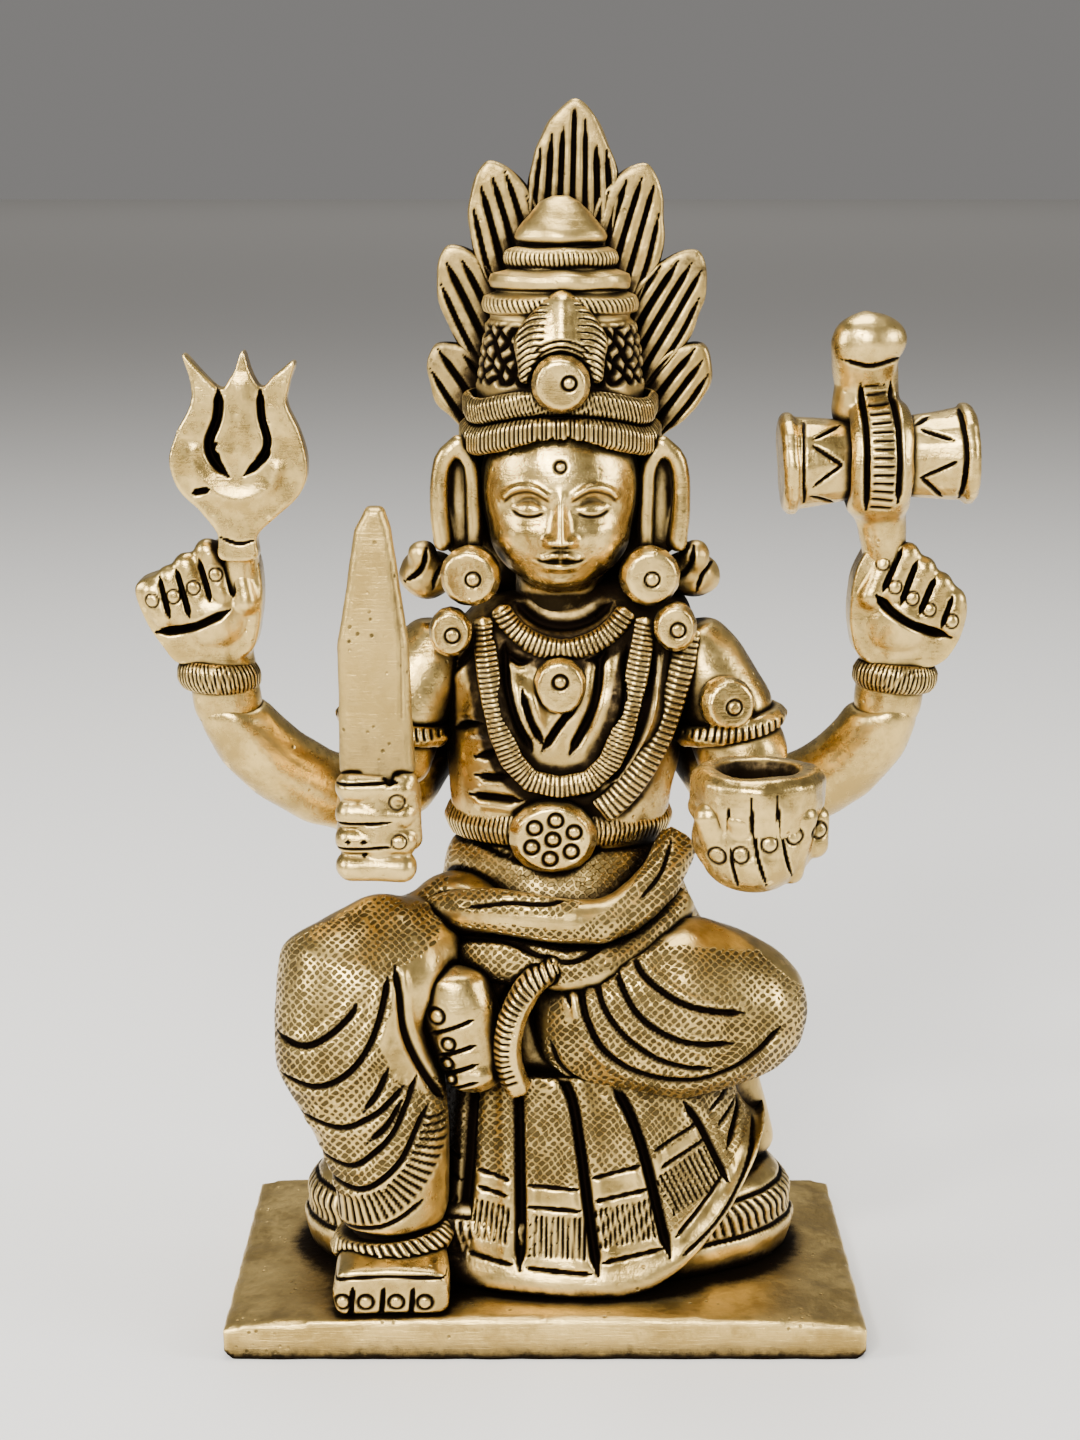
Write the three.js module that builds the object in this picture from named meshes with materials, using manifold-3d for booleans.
// A seated four-armed temple figure in cast brass, with a flame halo, on a rectangular plinth.
// Millimetres, +Z up, origin at the middle of the plinth's underside. The figure faces -Y.
// "left" and "right" are the sides as seen from the front, so left is -X.
import * as THREE from "three";
import { mergeVertices } from "three/addons/utils/BufferGeometryUtils.js";
import Module from "manifold-3d";

const wasm = await Module();
wasm.setup();

// ---------------------------------------------------------------- driving sizes

const GAP = 0.3; // clearance between a piece and the pocket it seats in

const plinth = { width: 72, depth: 45, thick: 5, droop: 1.2, edge: 0.6 };
const cushion = { halfWidth: 29.3, halfDepth: 18, height: 9.5, behind: 2.6 };
const body = {
  x: 1.6, // the spine stands a little to the right of the plinth's middle
  lapAboveSeat: 26.5,
  waistAboveLap: 15.5,
  torso: 24,
  waistHalf: 12,
  chestHalf: 14.5,
  shoulderHalf: 15.5,
  depthHalf: 8.5,
  chinAboveShoulder: 3.8,
};
const head = { halfWidth: 8.8, halfDepth: 8.6, face: 17, skull: 3.5, neck: 5 };
const crown = { radius: 9.8, height: 26.5, band: 1.5, bandHeight: 2.9, boss: 3.1 };
const halo = { front: 6.4, thick: 3.6, backing: 2.2 };
const arm = { upper: 5.2, fore: 4.1, rear: 4.2, wrist: 3.9, cuff: 5.1, cuffHeight: 3.2 };
const finger = { radius: 1.35 };
const reach = { forward: 26, rearOut: 39.5, rearUp: 25, elbowOut: 21 };
const sword = { blade: 7.6, thick: 2.6, length: 27.8, tip: 2.6, gripAboveWrist: 3.2 };
const trident = { spread: 15.6, height: 19, thick: 3.4, shaft: 2.1 };
const drum = { length: 21.6, end: 5.6, waist: 4.1, rim: 1.3, strap: 6.6, strapRise: 1.1 };
const bowl = { outer: 7, bore: 4.3, height: 9, depth: 5.6 };
const leg = { knee: 8.6, shin: 7.2, ankle: 5.9, folded: 10.6, kneeOut: 21.5 };
const foot = { width: 12.8, length: 13, height: 6.4 };
const anklet = { section: 1.7 };
const cord = { short: 1.25, long: 1.3, garland: 1.6 };
const disc = { earring: 2.9, shoulder: 2.3, armlet: 2.7, buckle: 4.9, pendant: 2.9 };

// ---------------------------------------------------------------- landmarks

const deck = plinth.thick;
const seat = deck + cushion.height;
const lap = seat + body.lapAboveSeat;
const waist = lap + body.waistAboveLap;
const shoulder = waist + body.torso;
const chin = shoulder + body.chinAboveShoulder;
const hairline = chin + head.face;
const crownTop = hairline + crown.height;
const wristZ = waist + 4.5; // the forward fists and the bowl
const rearHand = { z: waist + reach.rearUp, y: 2 };

// ---------------------------------------------------------------- shape helpers

const v = (x, y, z) => new THREE.Vector3(x, y, z);
const ALONG_X = v(1, 0, 0);
const ALONG_Z = v(0, 0, 1);

/** A closed three.js geometry as a solid that can be joined and cut. */
function solidOf(geometry) {
  const bare = new THREE.BufferGeometry().setAttribute("position", geometry.getAttribute("position"));
  if (geometry.index) bare.setIndex(geometry.index);
  const merged = mergeVertices(bare, 1e-4);
  return new wasm.Manifold(
    new wasm.Mesh({
      numProp: 3,
      vertProperties: new Float32Array(merged.getAttribute("position").array),
      triVerts: new Uint32Array(merged.index.array),
    }),
  );
}

/** A solid back as a geometry, for its mesh and for finding its front surface. */
function geometryOf(solid) {
  const mesh = solid.getMesh();
  return new THREE.BufferGeometry()
    .setAttribute("position", new THREE.BufferAttribute(new Float32Array(mesh.vertProperties), 3))
    .setIndex(new THREE.BufferAttribute(new Uint32Array(mesh.triVerts), 1));
}

const joined = (solids) => solids.reduce((sum, next) => sum.add(next));

/**
 * A body swept along a smooth line through stations [x, y, z, across, through]: across is its half-width
 * along side, through its half-width the other way. dome rounds its ends. square above 2 boxes its section.
 */
function limb(stations, { grow = 0, side = ALONG_X, sides = 14, rings = 6, dome = 0, square = 2 } = {}) {
  const line = new THREE.CatmullRomCurve3(stations.map(([x, y, z]) => v(x, y, z)));
  const widths = stations.map(([, , , across, through]) => v(across, through, 0));
  const halves = new THREE.CatmullRomCurve3(widths);
  const length = line.getLength();
  const geometry = new THREE.CylinderGeometry(1, 1, 1, sides, rings);
  const at = geometry.getAttribute("position");
  const flatEnd = 0.2; // a domed end keeps this share of its width
  for (let i = 0; i < at.count; i++) {
    const share = at.getY(i) + 0.5;
    const t = dome ? 0.5 - 0.5 * Math.cos(Math.PI * share) : share;
    const half = halves.getPoint(t);
    const tangent = line.getTangent(t);
    const through = v(0, 0, 0).crossVectors(side, tangent).normalize();
    const across = v(0, 0, 0).crossVectors(tangent, through).normalize();
    const fromEnd = Math.min(t, 1 - t) * length;
    const round = fromEnd < dome ? Math.sqrt(Math.max(flatEnd ** 2, 1 - (1 - fromEnd / dome) ** 2)) : 1;
    const squared = (c) => Math.sign(c) * Math.abs(c) ** (2 / square);
    const centre = line.getPoint(t).addScaledVector(tangent, grow * (2 * share - 1));
    centre.addScaledVector(across, squared(at.getX(i)) * (half.x * round + grow));
    centre.addScaledVector(through, squared(at.getZ(i)) * (half.y * round + grow));
    at.setXYZ(i, centre.x, centre.y, centre.z);
  }
  return solidOf(geometry);
}

/** An egg of three half-sizes. */
function egg(x, y, z, a, b, c, { grow = 0, sides = 12, rings = 8 } = {}) {
  const geometry = new THREE.SphereGeometry(1, sides, rings).rotateX(Math.PI / 2);
  return solidOf(geometry.scale(a + grow, b + grow, c + grow).translate(x, y, z));
}

/** A turned piece about +Z from (radius, height) points that start and end on the axis. */
function turned(profile, { segments = 20, stretch = 1 } = {}) {
  const points = profile.map(([r, h]) => new THREE.Vector2(r, h));
  return new THREE.LatheGeometry(points, segments).rotateX(Math.PI / 2).scale(1, stretch, 1);
}

/** A flat piece with its outline in X and Z, from y to y + thick. */
function plate(outline, y, thick, { grow = 0, curved = true, step = 3, bevel = 0 } = {}) {
  const shape = new THREE.Shape();
  const middle = [0, 1].map((k) => outline.reduce((sum, point) => sum + point[k], 0) / outline.length);
  const points = outline.map(([x, z]) => {
    const out = new THREE.Vector2(x - middle[0], z - middle[1]);
    return out.setLength(out.length() + grow).add(new THREE.Vector2(...middle));
  });
  const smooth = new THREE.SplineCurve([...points, points[0]]);
  shape.setFromPoints(curved ? smooth.getPoints(points.length * step) : points);
  const geometry = new THREE.ExtrudeGeometry(shape, {
    depth: thick + 2 * grow - 2 * bevel,
    bevelEnabled: bevel > 0,
    bevelThickness: bevel,
    bevelSize: bevel,
    bevelOffset: -bevel,
    bevelSegments: 1,
    curveSegments: 8,
  });
  // The extrusion runs along +Z from an outline in X and Y; stood up, it runs along -Y.
  return solidOf(geometry.rotateX(Math.PI / 2).translate(0, y + thick + grow - bevel, 0));
}

/** A round ring about a centre, a by b across, leaned by tilt radians towards its left. */
function hoop({ x, y, z }, a, b, radius, { grow = 0, tilt = 0, steps = 18 } = {}) {
  const geometry = new THREE.TorusGeometry(a, radius + grow, 6, steps).scale(1, b / a, 1);
  return solidOf(geometry.rotateY(tilt).translate(x, y, z));
}

/** A round cord along a smooth line, open at its ends. */
function rope(points, radius, { grow = 0, sides = 6, steps = 12, flat = 1 } = {}) {
  const shape = new THREE.Shape();
  for (let i = 0; i < sides; i++) {
    const turn = (2 * Math.PI * (i + 0.5)) / sides;
    const [a, b] = [Math.cos(turn) * (radius + grow), Math.sin(turn) * (radius * flat + grow)];
    if (i) shape.lineTo(a, b);
    else shape.moveTo(a, b);
  }
  const path = new THREE.CatmullRomCurve3(points.map((p) => v(...p)));
  return solidOf(new THREE.ExtrudeGeometry(shape, { steps, extrudePath: path, bevelEnabled: false }));
}

/** A button with a rounded edge, facing direction, its back at the given place. */
function button([x, y, z], radius, thick, { grow = 0, facing = v(0, -1, 0), sides = 14, tall = 1 } = {}) {
  const profile = [
    [0, -grow],
    [radius + grow, -grow],
    [radius + grow, thick * 0.6],
    [radius * 0.82 + grow, thick + grow],
    [0, thick + grow],
  ];
  const turn = new THREE.Quaternion().setFromUnitVectors(ALONG_Z, facing.clone().normalize());
  const geometry = turned(profile, { segments: sides });
  return solidOf(geometry.applyQuaternion(turn).scale(1, 1, tall).translate(x, y, z));
}

/** Where a line of sight from the front first meets the hosts, at x and z. */
function frontOf(hosts, x, z) {
  const ray = new THREE.Raycaster(v(x, -300, z), v(0, 1, 0));
  const double = new THREE.MeshBasicMaterial({ side: THREE.DoubleSide });
  const hits = hosts.flatMap((host) => ray.intersectObject(new THREE.Mesh(geometryOf(host), double)));
  if (!hits.length) throw new Error(`nothing lies behind x ${x.toFixed(1)}, z ${z.toFixed(1)}`);
  return Math.min(...hits.map((hit) => hit.point.y));
}

// ---------------------------------------------------------------- plinth and seat

function plinthSlab(grow = 0) {
  const [half, low] = [plinth.width / 2 + grow, -grow];
  const top = plinth.thick + grow;
  const shape = new THREE.Shape();
  shape.moveTo(-half + plinth.edge, low).lineTo(half - plinth.edge, low).lineTo(half, low + plinth.edge);
  shape.lineTo(half, top - plinth.droop);
  shape.quadraticCurveTo(half * 0.72, top, 0, top);
  shape.quadraticCurveTo(-half * 0.72, top, -half, top - plinth.droop);
  shape.lineTo(-half, low + plinth.edge);
  const length = plinth.depth + 2 * grow;
  const options = { depth: length, bevelEnabled: false, curveSegments: 8 };
  const geometry = new THREE.ExtrudeGeometry(shape, options);
  return solidOf(geometry.rotateX(Math.PI / 2).translate(0, length / 2, 0));
}

function seatCushion(grow = 0) {
  const [w, low, top] = [cushion.halfWidth + grow, deck - plinth.droop - 1, seat + grow];
  const profile = [
    [0, low],
    [w * 0.94, low],
    [w, deck + cushion.height * 0.34],
    [w * 0.965, deck + cushion.height * 0.5],
    [w * 0.99, deck + cushion.height * 0.7],
    [w * 0.9, top],
    [0, top],
  ];
  const stretch = cushion.halfDepth / cushion.halfWidth;
  return solidOf(turned(profile, { segments: 28, stretch }).translate(0.5, cushion.behind, 0));
}

// ---------------------------------------------------------------- legs and lap

const kneeLeft = v(body.x - leg.kneeOut - 1.2, -12.5, lap - 1.6);
const ankleLeft = v(kneeLeft.x + 3.7, -13.6, deck + 7.6);

const hangingLeg = (grow = 0) =>
  limb(
    [
      [body.x - 6, 0, lap + 1.5, 8, 8.5],
      [kneeLeft.x + 7, -7.5, lap + 1.2, leg.knee, 8.6],
      [kneeLeft.x - 0.6, kneeLeft.y + 0.2, kneeLeft.z - 0.6, leg.knee + 0.4, 8],
      [kneeLeft.x + 1.7, kneeLeft.y - 1, (kneeLeft.z + ankleLeft.z) / 2 + 3.5, leg.shin + 0.9, leg.shin],
      [ankleLeft.x + 0.2, ankleLeft.y, ankleLeft.z + 6, leg.ankle + 0.3, leg.ankle],
      [ankleLeft.x, ankleLeft.y, ankleLeft.z + 0.6, leg.ankle, leg.ankle - 0.4],
    ],
    { grow, sides: 16, rings: 8, side: v(0.86, 0.5, 0) },
  );

function hangingFoot(grow = 0) {
  const toes = plinth.depth / -2;
  const sole = limb(
    [
      [ankleLeft.x + 0.2, toes + 0.6, deck + 2.4, foot.width / 2, 3],
      [ankleLeft.x + 0.2, toes + foot.length * 0.45, deck + 2.9, foot.width / 2 - 0.2, 3.7],
      [ankleLeft.x + 0.4, toes + foot.length, deck + 3.2, foot.width / 2 - 1, foot.height / 2 + 0.8],
    ],
    { grow, sides: 16, rings: 4, square: 4 },
  );
  const ankle = limb(
    [
      [ankleLeft.x, ankleLeft.y, deck + 4.5, 4.4, 4.2],
      [ankleLeft.x, ankleLeft.y, ankleLeft.z + 2, 4.2, 4],
    ],
    { grow, rings: 1 },
  );
  return joined([sole, ankle]);
}

const hangingAnklet = (grow = 0) => {
  const centre = v(ankleLeft.x, ankleLeft.y - 0.2, ankleLeft.z - 1.6);
  return hoop(centre, 5.4, 5.1, anklet.section, { grow, tilt: -0.1 });
};

const kneeRight = v(body.x + leg.kneeOut + 2.4, -7, lap - 5);

const foldedLeg = (grow = 0) =>
  limb(
    [
      [body.x - 3.2, -7.5, lap - 5, 7.6, 6.2],
      [body.x + 5, -7.6, lap - 4.4, leg.folded - 0.6, 8.4],
      [body.x + 14, -7.2, lap - 4.4, leg.folded, 9.4],
      [body.x + 22, -7, lap - 4.8, leg.folded - 2.6, 8.4],
      [kneeRight.x + 4.2, kneeRight.y, kneeRight.z, 4.6, 5],
    ],
    { grow, side: ALONG_Z, sides: 16, rings: 8, dome: 3 },
  );

const soleX = body.x - 10.6;

const foldedFoot = (grow = 0) =>
  joined([
    limb(
      [
        [soleX - 1.4, -13.2, lap + 2, 3.4, 3],
        [soleX - 0.8, -13.8, lap - 2.5, 4.4, 3.4],
        [soleX + 0.8, -13.6, lap - 8, 4.2, 3],
        [soleX + 2, -12.8, lap - 12.4, 2.8, 2.2],
      ],
      { grow, sides: 12, rings: 5, dome: 2 },
    ),
    ...[0, 1, 2, 3].map((i) =>
      limb(
        [
          [soleX - 4.2 + i * 0.75, -15.4, lap - 2.6 - i * 2.7, 1.3, 1.2],
          [soleX + 2.2 + i * 0.4, -15.9, lap - 1.5 - i * 2.7, 1.4, 1.3],
        ],
        { grow, side: ALONG_Z, sides: 6, rings: 3, dome: 1 },
      ),
    ),
  ]);

const foldedAnklet = (grow = 0) =>
  rope(
    [
      [soleX + 10.6, -12.6, lap + 2.4],
      [soleX + 7.2, -15.2, lap + 0.4],
      [soleX + 5.2, -16.2, lap - 3.6],
      [soleX + 4.8, -16.2, lap - 8],
      [soleX + 6, -14.8, lap - 11.8],
    ],
    anklet.section - 0.2,
    { grow, steps: 10 },
  );

/** The mass of cloth from the seat up to the waist. */
const lapDrape = (grow = 0) =>
  limb(
    [
      [body.x + 2.9, 2.2, seat + 1.1 * GAP, 23.2, 16.4],
      [body.x + 2.6, 1.6, seat + 10, 21, 15],
      [body.x + 0.6, 1.4, lap - 1, 17.5, 13],
      [body.x + 0.2, 2.2, lap + 7, 14, 11.2],
      [body.x, 2.6, waist - 2, body.waistHalf + 0.3, 9],
    ],
    { grow, sides: 20, rings: 6 },
  );

/** The apron of cloth that hangs in pleats over the front of the seat, fanned between the legs. */
function apron(grow = 0) {
  const PLEATS = 7;
  const [from, to] = [-0.84, 1.26]; // radians about the lap's middle, 0 straight ahead
  const step = (to - from) / PLEATS;
  const [low, high] = [19.6, 14.8]; // how far out it stands at the hem and at the top
  const pleat = (_, i) => {
    const turn = from + (i + 0.5) * step;
    const station = (out, z, thick) => {
      const place = [body.x + 3.2 + Math.sin(turn) * out * 1.12, 1.8 - Math.cos(turn) * out, z];
      return [...place, step * out * 0.66, thick];
    };
    return limb(
      [
        station(low, deck + 1.4, 1.7),
        station((low + high) / 2 + 0.6, seat - 0.4, 1.5),
        station(high, seat + 12.5, 1.3),
      ],
      { grow, side: v(Math.cos(turn), Math.sin(turn), 0), sides: 8, rings: 2 },
    );
  };
  return joined(Array.from({ length: PLEATS }, pleat));
}

const swag = (drop, grow) =>
  rope(
    [
      [body.x - 14.2, -6.5, lap + 5.8 - drop * 0.8],
      [body.x - 8.5, -11.2, lap + 8 - drop],
      [body.x - 1, -13, lap + 7.4 - drop],
      [body.x + 5.4, -12, lap + 7 - drop],
      [body.x + 11, -8.6, lap + 10.4 - drop * 1.1],
      [body.x + 13.6, -3.4, lap + 14 - drop * 1.2],
    ],
    2.5,
    { grow, sides: 8, steps: 12, flat: 0.85 },
  );
const upperSwag = (grow = 0) => swag(0, grow);
const lowerSwag = (grow = 0) => swag(5.6, grow);

// ---------------------------------------------------------------- torso

function torso(grow = 0) {
  const [x, w, d] = [body.x, waist, body.depthHalf];
  const trunk = limb(
    [
      [x, 2.4, w - 1.6, body.waistHalf, d],
      [x + 0.3, 2.2, w + 6, body.waistHalf + 0.8, d + 0.3],
      [x + 0.8, 2, shoulder - 11, body.chestHalf - 0.4, d + 0.2],
      [x + 1.2, 2, shoulder - 5, body.chestHalf + 0.6, d - 0.4],
      [x + 1.2, 2.6, shoulder - 1, body.shoulderHalf - 1, d - 2],
      [x + 0.6, 3, shoulder + 3, 9.4, 5],
    ],
    { grow, sides: 18, rings: 7, square: 2.3 },
  );
  const breast = (side) => egg(x + 0.7 + side * 6, -4.2, shoulder - 9.8, 5, 4, 4.8, { grow });
  return joined([trunk, breast(-1), breast(1)]);
}

const neck = (grow = 0) =>
  limb(
    [
      [body.x, 1.6, shoulder - 0.5, head.neck + 0.8, head.neck],
      [body.x, 0.8, chin + 3, head.neck - 0.3, head.neck - 0.4],
    ],
    { grow, sides: 12, rings: 1 },
  );

/** Points on the front surface of the hosts, lifted off it. */
const laid = (hosts, points, lift) => points.map(([x, z]) => [x, frontOf(hosts, x, z) - lift, z]);

const belt = (grow = 0) =>
  hoop(v(body.x, 2.4, waist + 0.4), body.waistHalf + 0.9, body.depthHalf + 0.9, 1.6, { grow, steps: 24 });

const buckleSpot = [body.x - 0.7, frontOf([torso()], body.x - 0.7, waist) + 0.6, waist - 0.1];
const buckle = (grow = 0) => button(buckleSpot, disc.buckle, 2.8, { grow, sides: 18, tall: 0.86 });

const shortNecklace = (grow = 0) =>
  rope(
    laid(
      [torso(), neck()],
      [
        [body.x - 6.6, shoulder + 1],
        [body.x - 5.4, shoulder - 0.6],
        [body.x - 3.2, shoulder - 2],
        [body.x + 0.3, shoulder - 2.9],
        [body.x + 4, shoulder - 2],
        [body.x + 6.2, shoulder - 0.6],
        [body.x + 7.6, shoulder + 1],
      ],
      0.35,
    ),
    cord.short,
    { grow, steps: 10 },
  );

const pendantSpot = [body.x + 0.1, frontOf([torso()], body.x + 0.1, shoulder - 6.8), shoulder - 6.8];
const pendant = (grow = 0) =>
  button([pendantSpot[0], pendantSpot[1] + 0.9, pendantSpot[2]], disc.pendant, 2.2, { grow, tall: 1.12 });

const longNecklace = (grow = 0) =>
  rope(
    laid(
      [torso()],
      [
        [body.x - 8.6, shoulder - 0.2],
        [body.x - 7.8, shoulder - 6.5],
        [body.x - 6.4, shoulder - 12.6],
        [body.x - 4, shoulder - 17],
        [body.x + 0.2, shoulder - 18.2],
        [body.x + 4.4, shoulder - 17],
        [body.x + 6.9, shoulder - 12.4],
        [body.x + 8.6, shoulder - 6],
        [body.x + 9.8, shoulder + 0.2],
      ],
      0.5,
    ),
    cord.long,
    { grow, steps: 14 },
  );

const garland = (grow = 0) =>
  rope(
    laid(
      [torso()],
      [
        [body.x + 14.6, shoulder - 1.4],
        [body.x + 13.8, shoulder - 5],
        [body.x + 12.2, shoulder - 10.4],
        [body.x + 10, shoulder - 15.4],
        [body.x + 7, waist + 4.6],
        [body.x + 4.8, waist + 2.8],
      ],
      0.6,
    ),
    cord.garland,
    { grow, steps: 10 },
  );

// ---------------------------------------------------------------- head and crown

const headX = body.x + 0.1;

const skull = (grow) =>
  limb(
    [
      [headX, -1.6, chin, 3.6, 4.4],
      [headX, -0.9, chin + 2.6, 6.6, 7],
      [headX, -0.4, chin + 6.6, head.halfWidth - 0.3, head.halfDepth - 0.4],
      [headX, -0.2, chin + 11.4, head.halfWidth, head.halfDepth],
      [headX, 0, hairline, head.halfWidth - 0.2, head.halfDepth],
      [headX, 0, hairline + head.skull, head.halfWidth - 2.6, head.halfDepth - 2.4],
    ],
    { grow, sides: 18, rings: 9, dome: 1.6 },
  );

const headAndNeck = (grow = 0) => joined([skull(grow), neck(grow)]);

const backHair = (grow = 0) =>
  limb(
    [
      [headX + 0.4, 6.8, shoulder + 1, 11, 3],
      [headX + 0.2, 5.6, chin + 4.5, 12.6, 3.8],
      [headX, 5, chin + 11, 12.2, 4.2],
      [headX, 5.2, hairline, 10.4, 4.2],
    ],
    { grow, sides: 16, rings: 5, dome: 2 },
  );

const earLoop = (side, grow) =>
  rope(
    [
      [headX + side * 8.4, -1.2, hairline - 2.8],
      [headX + side * 10.6, -1.8, hairline - 2.6],
      [headX + side * 12, -2, hairline - 5.4],
      [headX + side * 12, -2, hairline - 9.4],
      [headX + side * 11.6, -1.9, hairline - 12.6],
    ],
    1.45,
    { grow, steps: 7 },
  );

const earLobe = (side, grow) =>
  limb(
    [
      [headX + side * 8.9, -2.2, hairline - 4.6, 1.5, 2],
      [headX + side * 9.5, -2.6, hairline - 8.4, 1.35, 1.9],
      [headX + side * 9.5, -2.6, hairline - 12.4, 1.5, 1.8],
    ],
    { grow, sides: 6, rings: 3, dome: 1.2 },
  );

const ear = (side, grow) => joined([earLoop(side, grow), earLobe(side, grow)]);

const earringSpot = (side) => [headX + side * 9.9, -3.4, chin + 1.6];
const earring = (side, grow) =>
  button(earringSpot(side), disc.earring, 2.6, { grow, facing: v(side * 0.12, -1, 0) });

const shoulderBoss = (side, grow) => {
  const [x, z] = [body.x + 0.4 + side * 12.6, shoulder - (side < 0 ? 0.8 : 0.2)];
  return button([x, -4.4, z], disc.shoulder, 2.4, { grow, tall: 1.15 });
};

const sideKnot = (side, grow) =>
  joined([
    egg(body.x + side * 15, 2, shoulder + 4.6, 3.4, 3.2, 2.6, { grow, sides: 10, rings: 6 }),
    egg(body.x + side * 15.4, -0.4, shoulder + 7.2, 1.7, 1.8, 1.7, { grow, sides: 8, rings: 4 }),
  ]);

const crownRadius = (share) => crown.radius * (1 - 0.12 * share - 0.34 * share ** 2.2);

function crownBody(grow = 0) {
  const tiers = [0.52, 0.6, 0.68, 0.76]; // shares of the height where the ribs meet
  const profile = [
    [0, -0.6 - grow],
    [crown.radius + grow, -0.6 - grow],
    [crown.radius + grow, crown.height * 0.2],
    [crownRadius(0.46) + grow, crown.height * 0.46],
  ];
  tiers.slice(0, 3).forEach((share, i) => {
    const middle = (share + tiers[i + 1]) / 2;
    profile.push([crownRadius(share) - 0.5 + grow, crown.height * share]);
    profile.push([crownRadius(middle) + 0.5 + grow, crown.height * middle]);
  });
  const domeFoot = crownRadius(0.78) - 1.2;
  profile.push([domeFoot + grow, crown.height * 0.775], [domeFoot + 0.4 + grow, crown.height * 0.82]);
  profile.push([domeFoot * 0.62 + grow, crown.height * 0.92]);
  profile.push([domeFoot * 0.2 + grow, crown.height * 0.985 + grow]);
  profile.push([0, crown.height + grow]);
  const stretch = 0.84;
  return solidOf(turned(profile, { segments: 20, stretch }).translate(headX, 0.6, hairline));
}

function crownBand(level, bulge, grow = 0) {
  const inner = crown.radius + 1.4 * GAP - grow; // looser than the rest, as the two are not cut to fit
  const outer = crown.radius + crown.band + bulge + grow;
  const [low, high] = [level - grow, level + crown.bandHeight + grow];
  const profile = [
    [inner, low],
    [outer - 0.5, low],
    [outer, low + 0.6],
    [outer, high - 0.6],
    [outer - 0.6, high],
    [inner, high],
    [inner, low],
  ];
  return solidOf(turned(profile, { segments: 20, stretch: 0.84 }).translate(headX, 0.6, hairline));
}
const lowerBand = (grow = 0) => crownBand(-1.2, 0, grow);
const upperBand = (grow = 0) => crownBand(-1.2 + crown.bandHeight + GAP, -0.4, grow);

const crestFront = 0.6 - crown.radius * 0.84;
const crest = (grow = 0) =>
  limb(
    [
      [headX, crestFront + 0.2, hairline + 5.2, 4.4, 2.4],
      [headX, crestFront + 0.4, hairline + 8.4, 4.9, 2.2],
      [headX + 0.1, crestFront + 1.4, hairline + 12.4, 3.4, 2],
      [headX + 0.2, crestFront + 2.4, hairline + 16.6, 1, 1.2],
    ],
    { grow, sides: 10, rings: 4, dome: 1 },
  );

const crownBoss = (grow = 0) =>
  button([headX, crestFront + 0.6, hairline + 6.4], crown.boss, 4, { grow, sides: 16 });

// ---------------------------------------------------------------- halo of seven flames

/** A leaf-shaped flame about an upright line, leaned by turn radians, its foot at x and z. */
function flame(x, z, length, half, turn, grow = 0) {
  const outline = [
    [0, length],
    [half * 0.62, length * 0.8],
    [half, length * 0.5],
    [half * 0.78, length * 0.14],
    [0, 0],
    [-half * 0.78, length * 0.14],
    [-half, length * 0.5],
    [-half * 0.62, length * 0.8],
  ];
  const [cos, sin] = [Math.cos(turn), Math.sin(turn)];
  const leaned = outline.map(([a, b]) => [x + a * cos + b * sin, z - a * sin + b * cos]);
  return plate(leaned, halo.front, halo.thick, { grow, curved: false });
}

const flameX = headX + 0.7;
const FLAMES = {
  top: { x: 0.4, z: 10.5, length: 26.4, half: 5.2, turn: 0.02 },
  upper_left: { x: 7.6 - crown.radius, z: 8.5, length: 22.6, half: 4.6, turn: -0.3 },
  upper_right: { x: crown.radius - 7.4, z: 8.5, length: 22.4, half: 4.6, turn: 0.3 },
  middle_left: { x: 5.2 - crown.radius, z: 3.4, length: 19.4, half: 4, turn: -0.48 },
  middle_right: { x: crown.radius - 4.8, z: 3.4, length: 19.4, half: 4.2, turn: 0.54 },
  lower_left: { x: 2.2 - crown.radius, z: -0.8, length: 12.6, half: 3.6, turn: -0.62 },
  lower_right: { x: crown.radius - 1.8, z: -0.8, length: 12.8, half: 3.6, turn: 0.66 },
};
const haloFlame = (name, grow = 0) => {
  const f = FLAMES[name];
  return flame(flameX + f.x, hairline + f.z, f.length, f.half, f.turn, grow);
};

const haloBack = (grow = 0) =>
  plate(
    [
      [flameX + 1.2, crownTop + 4],
      [flameX + crown.radius - 3.2, crownTop - 2],
      [flameX + crown.radius + 1.2, crownTop - 10],
      [flameX + crown.radius + 2.6, hairline + 6],
      [flameX + crown.radius + 0.8, hairline - 2],
      [flameX - crown.radius, hairline - 2],
      [flameX - crown.radius - 1.6, hairline + 6],
      [flameX - crown.radius, crownTop - 10],
      [flameX - crown.radius + 4.4, crownTop - 2],
    ],
    halo.front + halo.thick + 1.1 * GAP,
    halo.backing,
    { grow, curved: false, bevel: grow ? 0 : 0.5 },
  );

// ---------------------------------------------------------------- arms

const side = { left: -1, right: 1 };
const shoulderPoint = (s) => v(body.x + 0.8 + s * (body.shoulderHalf - 0.8), 2.2, shoulder - 3);
const elbow = (s) => v(body.x + s * (reach.elbowOut + (s > 0 ? 1.2 : 0)), -1.4, waist + 6);
const frontWrist = (s) => v(body.x + (s > 0 ? 21 : -19.6), -reach.forward + 7.5, wristZ);

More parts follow.
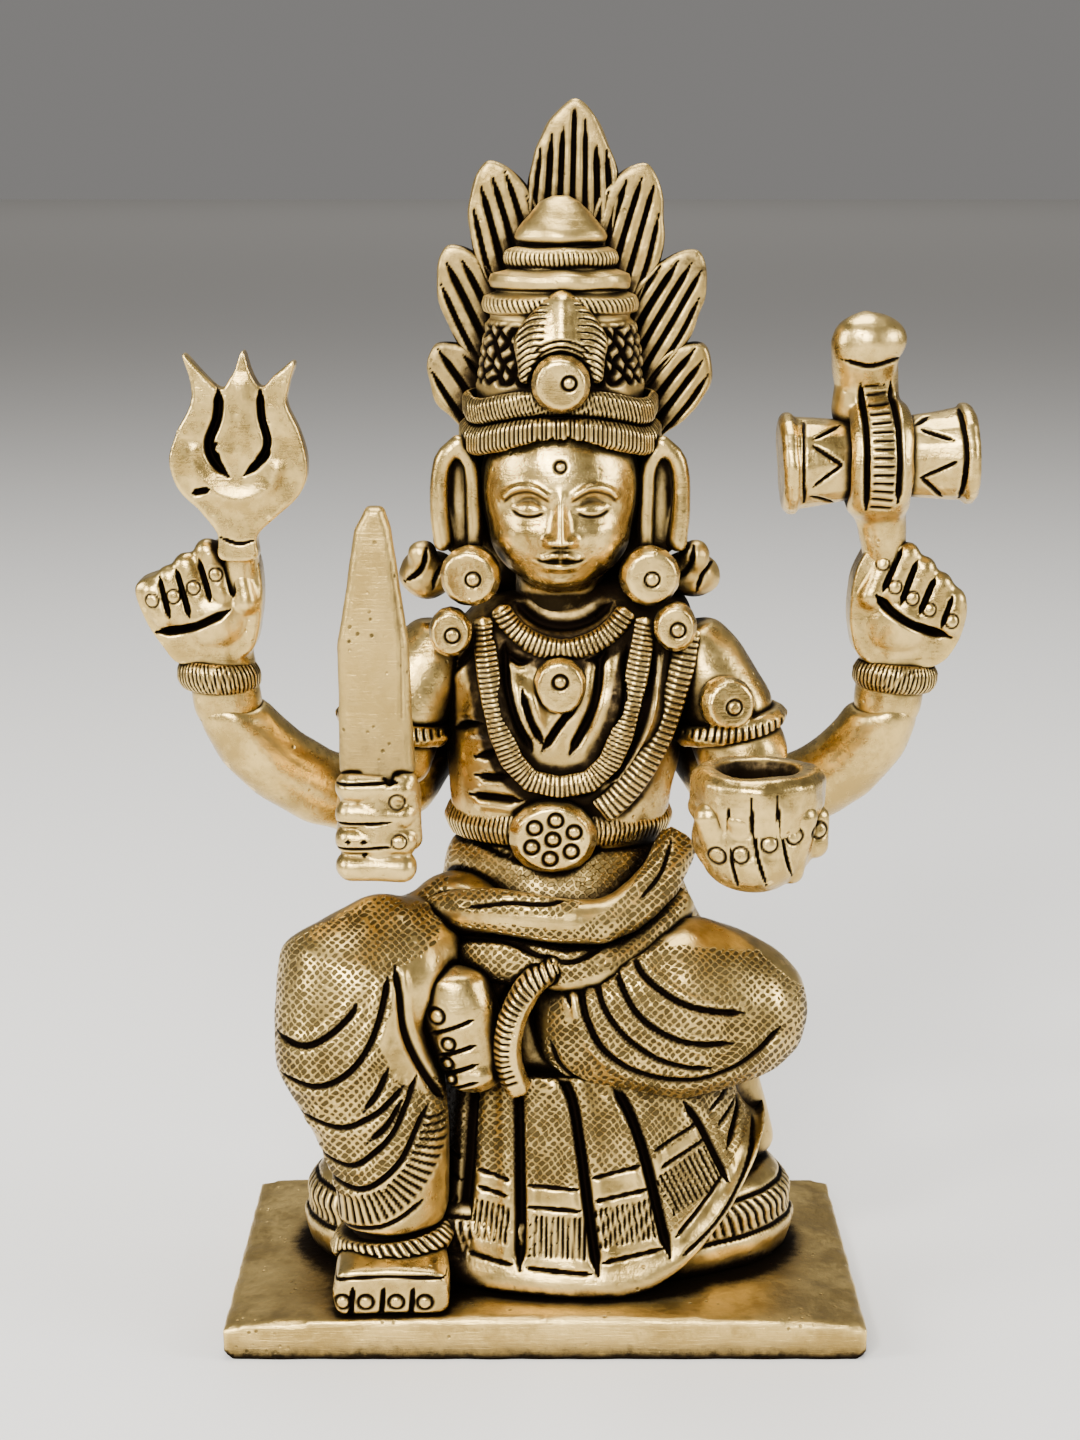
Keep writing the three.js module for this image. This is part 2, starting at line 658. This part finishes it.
const frontArm = (s, grow = 0) => {
  const [from, to, hand] = [shoulderPoint(s), elbow(s), frontWrist(s)];
  const upper = limb(
    [
      [from.x - s * 1.6, from.y, from.z + 1.6, 3.4, arm.upper - 1.2],
      [from.x + s * 0.6, from.y - 0.4, from.z - 2.2, arm.upper - 0.4, arm.upper],
      [(from.x + to.x) / 2 + s * 0.8, 0, (from.z + to.z) / 2 - 1, arm.upper, arm.upper],
      [to.x, to.y, to.z - 1.4, arm.upper - 0.3, arm.upper - 0.2],
    ],
    { grow, sides: 12, rings: 5, dome: 2 },
  );
  const fore = limb(
    [
      [to.x, to.y + 1.4, to.z - 3.6, arm.fore, arm.fore],
      [to.x, to.y - 5, to.z - 2.6, arm.fore, arm.fore],
      [hand.x, hand.y - 1.5, hand.z, arm.wrist - 0.6, arm.wrist - 0.4],
    ],
    { grow, sides: 10, rings: 4, dome: 2 },
  );
  return joined([upper, fore]);
};

/** The band round the upper arm with its boss. */
const armlet = (s, grow = 0) => {
  const [from, to] = [shoulderPoint(s), elbow(s)];
  const centre = v((from.x + to.x) / 2 + (s > 0 ? 0.6 : -1.4), -0.3, (from.z + to.z) / 2 - 1.8);
  const band = hoop(centre, arm.upper + 0.5, arm.upper + 0.5, 1.15, { grow, tilt: s * -0.2, steps: 14 });
  const spot = [centre.x - (s > 0 ? 0.8 : 1), centre.y - 4.2, centre.z + 3.2];
  const boss = button(spot, disc.armlet + 0.3, 2.7, { grow, facing: v(s * 0.25, -1, 0.1) });
  return joined([band, boss]);
};

const rearWrist = (s) => v(body.x - 0.2 + s * (reach.rearOut - 0.6), rearHand.y, rearHand.z - 9.6);

const rearArm = (s, grow = 0) => {
  const wrist = rearWrist(s);
  const low = elbow(s);
  return limb(
    [
      [low.x - s * 7, 8.6, low.z + 5, arm.rear, arm.rear],
      [low.x - s * 1, 7.8, low.z - 4.4, arm.rear + 0.2, arm.rear],
      [low.x + s * 7, 5.6, low.z - 3.2, arm.rear + 0.1, arm.rear],
      [(low.x + s * 7 + wrist.x) / 2 + s * 1.4, 3.6, (low.z - 3 + wrist.z) / 2 - 1, arm.rear, arm.rear],
      [wrist.x, wrist.y, wrist.z - 0.4, arm.wrist - 0.2, arm.wrist - 0.6],
    ],
    { grow, side: v(0, 1, 0), sides: 12, rings: 10, dome: 1.5 },
  );
};

const cuff = (s, grow = 0) => {
  const wrist = rearWrist(s);
  const lean = s * 0.2;
  const [half, tall] = [arm.cuff + grow, arm.cuffHeight / 2 + grow];
  const profile = [
    [0, -tall],
    [half - 0.7, -tall],
    [half, -tall * 0.4],
    [half, tall * 0.4],
    [half - 0.6, tall],
    [0, tall],
  ];
  const geometry = turned(profile, { segments: 16, stretch: 0.86 }).rotateY(-lean);
  return solidOf(geometry.translate(wrist.x, wrist.y, wrist.z));
};

/** A closed fist about a centre: a palm, four fingers each from tip to knuckle, and a thumb. */
function fist(centre, palm, digits, grow) {
  const digit = ([tip, knuckle]) => {
    const bend = [(tip[0] + knuckle[0]) / 2, (tip[1] + knuckle[1]) / 2];
    return limb(
      [
        [centre.x + tip[0], centre.y - 2.2, centre.z + tip[1], finger.radius, finger.radius],
        [centre.x + bend[0], centre.y - 3, centre.z + bend[1], finger.radius, 1.5],
        [centre.x + knuckle[0], centre.y - 2.6, centre.z + knuckle[1], finger.radius - 0.1, finger.radius],
      ],
      { grow, sides: 5, rings: 3, dome: 1.2, side: ALONG_X },
    );
  };
  const heel = limb(
    palm.map(([x, z, across, through]) => [centre.x + x, centre.y, centre.z + z, across, through]),
    { grow, sides: 12, rings: 4, dome: 2, square: 3 },
  );
  return joined([heel, ...digits.map(digit)]);
}

const rearFist = (s, grow = 0) => {
  const centre = v(body.x - 0.2 + s * reach.rearOut, rearHand.y, rearHand.z);
  const mirror = (points) => points.map(([x, z]) => [s * x, z]);
  return fist(
    centre,
    [
      [s * -0.6, -7, 4.4, 3.2],
      [s * 0.3, -3.4, 6, 3.6],
      [s * 0.6, 0.5, 6.2, 3.2],
      [s * -0.8, 5.4, 4.2, 2.4],
    ],
    [
      mirror([[6.4, 2], [4.7, -2.2]]),
      mirror([[4.3, 3.8], [2.3, -1.6]]),
      mirror([[2, 5.4], [0.1, -0.6]]),
      mirror([[-0.4, 7], [-2, 1]]),
      mirror([[-3.4, 6.4], [-4.8, -0.8]]),
    ],
    grow,
  );
};

// ---------------------------------------------------------------- what the hands hold

const tridentX = body.x - 0.2 - reach.rearOut + 3.4;
const tridentFoot = rearHand.z + 5.6;
const tridentNeck = rearHand.z + 9.4;

function tridentHead(grow = 0) {
  const [x, z, s, h] = [tridentX, tridentNeck, trident.spread / 2, trident.height];
  const outer = [
    [x - 2.4, z - 1],
    [x - s * 0.82, z + h * 0.22],
    [x - s, z + h * 0.46],
    [x - s * 0.84, z + h * 0.72],
    [x - s * 0.84, z + h],
    [x - s * 0.4, z + h * 0.78],
    [x - s * 0.42, z + h * 0.4],
    [x, z + h * 0.24],
    [x + s * 0.42, z + h * 0.4],
    [x + s * 0.36, z + h * 0.78],
    [x + s * 0.8, z + h * 0.96],
    [x + s * 0.82, z + h * 0.72],
    [x + s, z + h * 0.46],
    [x + s * 0.82, z + h * 0.22],
    [x + 2.4, z - 1],
  ];
  const middle = [
    [x - 1.2, z + 1],
    [x - s * 0.31, z + h * 0.52],
    [x + 0.4, z + h],
    [x + s * 0.33, z + h * 0.52],
    [x + 1.2, z + 1],
  ];
  const y = rearHand.y - 2 - trident.thick / 2;
  const shaft = limb(
    [
      [x - 0.6, rearHand.y, tridentFoot, trident.shaft, trident.shaft],
      [x, rearHand.y - 1.6, tridentNeck + 0.6, trident.shaft + 0.5, trident.thick / 2],
    ],
    { grow, sides: 10, rings: 1 },
  );
  const fork = plate(outer, y, trident.thick, { grow, curved: false });
  const spike = plate(middle, y - 0.3, trident.thick, { grow, curved: false });
  return joined([fork, spike, shaft]);
}

const drumCentre = v(body.x + 35.7, rearHand.y - 3, rearHand.z + 17.2);

function drumBody(grow = 0) {
  const [half, end, mid] = [drum.length / 2, drum.end + grow, drum.waist + grow];
  const profile = [
    [0, -half - grow],
    [end - 0.6, -half - grow],
    [end, -half + 0.5],
    [end, -half + drum.rim],
    [end - 0.5, -half + drum.rim + 0.2],
    [mid, -1],
    [mid, 1],
    [end - 0.5, half - drum.rim - 0.2],
    [end, half - drum.rim],
    [end, half - 0.5],
    [end - 0.6, half + grow],
    [0, half + grow],
  ];
  const lean = -0.055;
  const geometry = turned(profile, { segments: 18 }).rotateY(Math.PI / 2 + lean);
  return solidOf(geometry.translate(drumCentre.x, drumCentre.y, drumCentre.z));
}

/** The girdle round the drum's waist, with a serpent's head above and the handle below. */
function drumStrap(grow = 0) {
  const { x, y, z } = drumCentre;
  const outer = drum.end + drum.strapRise + grow;
  const half = drum.strap / 2 + grow;
  const profile = [
    [0, -half],
    [outer - 0.9, -half],
    [outer, -half * 0.55],
    [outer + 0.2, 0],
    [outer, half * 0.55],
    [outer - 0.9, half],
    [0, half],
  ];
  const girdle = solidOf(turned(profile, { segments: 18 }).rotateY(Math.PI / 2).translate(x, y, z));
  const handle = limb(
    [
      [x + 1.8, y + 3, rearHand.z + 3, 2.2, 2.2],
      [x + 0.6, y + 1, z - drum.end - 0.2, 2.7, 2.6],
    ],
    { grow, sides: 10, rings: 1 },
  );
  return joined([girdle, handle, serpent(grow)]);
}

const serpent = (grow) =>
  limb(
    [
      [drumCentre.x - 1.2, drumCentre.y + 1.6, drumCentre.z + drum.end - 0.4, 3.2, 3],
      [drumCentre.x - 1.7, drumCentre.y + 0.6, drumCentre.z + drum.end + 4, 3.4, 3],
      [drumCentre.x - 1.7, drumCentre.y - 1.4, drumCentre.z + drum.end + 8, 3.7, 3.2],
      [drumCentre.x - 1.6, drumCentre.y - 3, drumCentre.z + drum.end + 9.8, 2.6, 2.4],
    ],
    { grow, sides: 12, rings: 5, dome: 2.4 },
  );

const swordX = body.x - 19.2;
const grip = wristZ + sword.gripAboveWrist;
const fistFront = -reach.forward - 4.4;

function swordBlade(grow = 0) {
  const [z, half] = [grip + 4.6, sword.blade / 2];
  const top = z + sword.length;
  const outline = [
    [swordX - half, z],
    [swordX - half * 1.02, z + sword.length * 0.48],
    [swordX - half * 0.5, z + sword.length * 0.92],
    [swordX - sword.tip * 0.3, top],
    [swordX + sword.tip * 0.3, top],
    [swordX + half * 0.4, z + sword.length * 0.92],
    [swordX + half * 0.84, z + sword.length * 0.5],
    [swordX + half, z],
  ];
  const hilt = [
    [swordX - 1.6, grip - 5],
    [swordX + 1.6, grip - 5],
    [swordX + 1.6, z + 1],
    [swordX - 1.6, z + 1],
  ];
  const y = fistFront + 1.2;
  return joined([
    plate(outline, y, sword.thick, { grow, curved: false, bevel: grow ? 0 : 0.5 }),
    plate(hilt, y, sword.thick, { grow, curved: false }),
  ]);
}

const swordFist = (grow = 0) =>
  joined([
    limb(
      [
        [swordX + 0.2, -reach.forward + 1, grip - 5.6, 3.6, 5.2],
        [swordX + 0.2, -reach.forward + 0.6, grip - 0.6, 4.1, 5.4],
        [swordX + 0.2, -reach.forward + 1.6, grip + 4, 3.8, 4.2],
      ],
      { grow, sides: 12, rings: 4, dome: 1.2, square: 3 },
    ),
    ...[0, 1, 2, 3].map((i) =>
      limb(
        [
          [swordX - 3.4, fistFront + 0.6, grip + 3.4 - i * 2.75, 1.45, 1.5],
          [swordX + 3.5, fistFront + 0.9, grip + 3.1 - i * 2.75, 1.4, 1.5],
        ],
        { grow, side: ALONG_Z, sides: 6, rings: 2, dome: 1.1 },
      ),
    ),
  ]);

const bowlCentre = v(body.x + 20.8, -reach.forward, wristZ - 1.4);

function offeringBowl(grow = 0) {
  const low = -grow;
  const high = bowl.height;
  const profile = [
    [0, low],
    [bowl.outer * 0.55 + grow, low],
    [bowl.outer * 0.9 + grow, high * 0.34],
    [bowl.outer + grow, high * 0.62],
    [bowl.outer + grow, high - 0.9],
    [bowl.outer - 0.8 + grow, high + grow],
  ];
  if (grow) profile.push([0, high + grow]);
  else {
    profile.push([bowl.bore + 0.5, high]);
    profile.push([bowl.bore, high - 0.7]);
    profile.push([bowl.bore, high - bowl.depth]);
    profile.push([0, high - bowl.depth]);
  }
  return solidOf(turned(profile, { segments: 20 }).translate(bowlCentre.x, bowlCentre.y, bowlCentre.z));
}

const bowlHand = (grow = 0) => {
  const { x, y, z } = bowlCentre;
  return joined([
    limb(
      [
        [x + 0.2, y + 0.6, z - 4.6, 4.6, 4.6],
        [x + 0.2, y + 0.8, z - 1, 6.2, 5.8],
        [x + 0.2, y + 1.8, z + 3.4, 6.6, 5.4],
      ],
      { grow, sides: 12, rings: 4, dome: 1.6 },
    ),
    ...[0, 1, 2, 3].map((i) =>
      limb(
        [
          [x - 3.6 + i * 2.5, y - 4.2 + Math.abs(i - 1.5) * 0.5, z - 4.8, 1.35, 1.4],
          [x - 4.8 + i * 3.2, y - 6 + Math.abs(i - 1.5), z - 0.4, 1.65, 1.6],
          [x - 5.2 + i * 3.4, y - 6.6 + Math.abs(i - 1.5) * 1.3, z + 4.2, 1.6, 1.5],
        ],
        { grow, sides: 6, rings: 3, dome: 1.2 },
      ),
    ),
    limb(
      [
        [x + 6.6, y + 1, z - 1.4, 1.7, 2],
        [x + 7, y, z + 4, 1.6, 1.8],
      ],
      { grow, sides: 6, rings: 2, dome: 1.3 },
    ),
  ]);
};

// ---------------------------------------------------------------- assembly

const bright = new THREE.MeshStandardMaterial({ color: 0xcaa45a, roughness: 0.32, metalness: 1 });
const aged = new THREE.MeshStandardMaterial({ color: 0xa97f3c, roughness: 0.45, metalness: 1 });
const trim = new THREE.MeshStandardMaterial({ color: 0xd8b874, roughness: 0.28, metalness: 1 });

const bothSides = (name, make, material) =>
  Object.entries(side).map(([word, s]) => [`${word}_${name}`, (grow) => make(s, grow), material]);

// Each piece keeps its shape where it meets one below it in this list, which is cut back to clear it.
const pieces = [
  ["plinth", plinthSlab, aged],
  ["seat_cushion", seatCushion, aged],
  ["sword", swordBlade, bright],
  ["sword_fist", swordFist, bright],
  ["offering_bowl", offeringBowl, bright],
  ["bowl_hand", bowlHand, bright],
  ["trident", tridentHead, bright],
  ["drum", drumBody, bright],
  ["drum_serpent", drumStrap, bright],
  ...bothSides("rear_hand", rearFist, bright),
  ...bothSides("cuff", cuff, trim),
  ...bothSides("rear_arm", rearArm, bright),
  ...bothSides("armlet", armlet, trim),
  ...bothSides("front_arm", frontArm, bright),
  ["hanging_foot", hangingFoot, bright],
  ["hanging_anklet", hangingAnklet, trim],
  ["folded_foot", foldedFoot, bright],
  ["folded_anklet", foldedAnklet, trim],
  ["upper_swag", upperSwag, aged],
  ["lower_swag", lowerSwag, aged],
  ["folded_leg", foldedLeg, aged],
  ["hanging_leg", hangingLeg, aged],
  ["apron", apron, aged],
  ["belt_buckle", buckle, trim],
  ["torso", torso, bright],
  ["belt", belt, trim],
  ["lap_drape", lapDrape, aged],
  ["head", headAndNeck, bright],
  ["pendant", pendant, trim],
  ["short_necklace", shortNecklace, trim],
  ["long_necklace", longNecklace, trim],
  ["shoulder_garland", garland, trim],
  ...bothSides("earring", earring, trim),
  ...bothSides("shoulder_boss", shoulderBoss, trim),
  ...bothSides("ear", ear, bright),
  ["crown_boss", crownBoss, trim],
  ["crown_crest", crest, trim],
  ["crown_lower_band", lowerBand, trim],
  ["crown_upper_band", upperBand, trim],
  ["crown", crownBody, aged],
  ["back_hair", backHair, aged],
  ...bothSides("side_knot", sideKnot, aged),
  ...Object.keys(FLAMES).map((name) => [`flame_${name}`, (grow) => haloFlame(name, grow), aged]),
  ["halo_backing", haloBack, aged],
];

const boxOf = (solid) => {
  const corners = geometryOf(solid).getAttribute("position");
  return new THREE.Box3().setFromBufferAttribute(corners);
};

const figure = new THREE.Group();
const standing = []; // the pieces so far, each a clearance larger than it is, with its box
for (const [name, make, material] of pieces) {
  let solid = make(0);
  const box = boxOf(solid);
  for (const { cutter, around } of standing) if (box.intersectsBox(around)) solid = solid.subtract(cutter);
  const mesh = new THREE.Mesh(geometryOf(solid), material);
  mesh.name = name;
  figure.add(mesh);
  const cutter = make(GAP);
  standing.push({ cutter, around: boxOf(cutter) });
}

export default figure;
